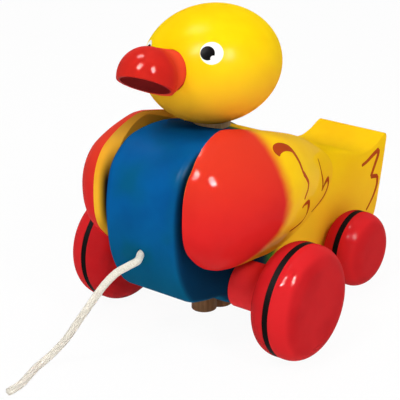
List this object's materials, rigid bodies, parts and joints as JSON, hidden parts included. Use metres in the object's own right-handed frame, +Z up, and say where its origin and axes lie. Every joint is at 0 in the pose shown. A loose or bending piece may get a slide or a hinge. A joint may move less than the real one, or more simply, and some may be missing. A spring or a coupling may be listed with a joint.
{
  "type": "pull-along toy duck",
  "caption": "Painted wooden duck on wheels that rolls along behind a pull cord, with a turning head, domed wings and rubber-ringed wheels.",
  "frame": {"origin": "on the floor under the middle of the duck's length and width, cord left out", "axes": "+X forward to the beak, +Y to the duck's left, +Z up"},
  "size_m": [0.2376, 0.1294, 0.1539],
  "materials": {
    "body_paint": "gloss yellow paint on wood, blue on the chest",
    "wing_paint": "gloss paint on wood, red at the front fading to yellow at the rear",
    "head_paint": "gloss yellow paint on turned wood with painted eyes",
    "red_paint": "gloss red paint on turned wood",
    "plain_wood": "bare beech dowel",
    "brown_wood": "bare brown wood",
    "rubber": "matt black rubber",
    "cotton": "off-white braided cotton cord"
  },
  "bodies": {
    "duck": {"body": "body_paint", "left_wing": "wing_paint", "right_wing": "wing_paint", "wing_dowels": "plain_wood", "belly_pegs": "brown_wood", "neck_dowel": "plain_wood", "neck_washer": "plain_wood", "pull_cord": "cotton"},
    "head": {"head": "head_paint", "beak": "red_paint", "beak_dowel": "plain_wood"},
    "front_wheels": {"front_axle": "plain_wood", "front_wheel_left": "red_paint", "front_wheel_right": "red_paint", "front_ring_left": "rubber", "front_ring_right": "rubber", "front_spacer_left": "red_paint", "front_spacer_right": "red_paint"},
    "rear_wheels": {"rear_axle": "plain_wood", "rear_wheel_left": "red_paint", "rear_wheel_right": "red_paint", "rear_ring_left": "rubber", "rear_ring_right": "rubber"}
  },
  "joints": [
    {"name": "front_roll", "type": "hinge", "parent": "duck", "child": "front_wheels", "pos_m": [0.03923, 0, 0.027], "axis": [0, 1, 0], "continuous": true},
    {"name": "rear_roll", "type": "hinge", "parent": "duck", "child": "rear_wheels", "pos_m": [-0.04277, 0, 0.019], "axis": [0, 1, 0], "continuous": true},
    {"name": "head_turn", "type": "hinge", "parent": "duck", "child": "head", "pos_m": [0.03423, 0, 0.1], "axis": [0, 0, 1], "continuous": true}
  ]
}
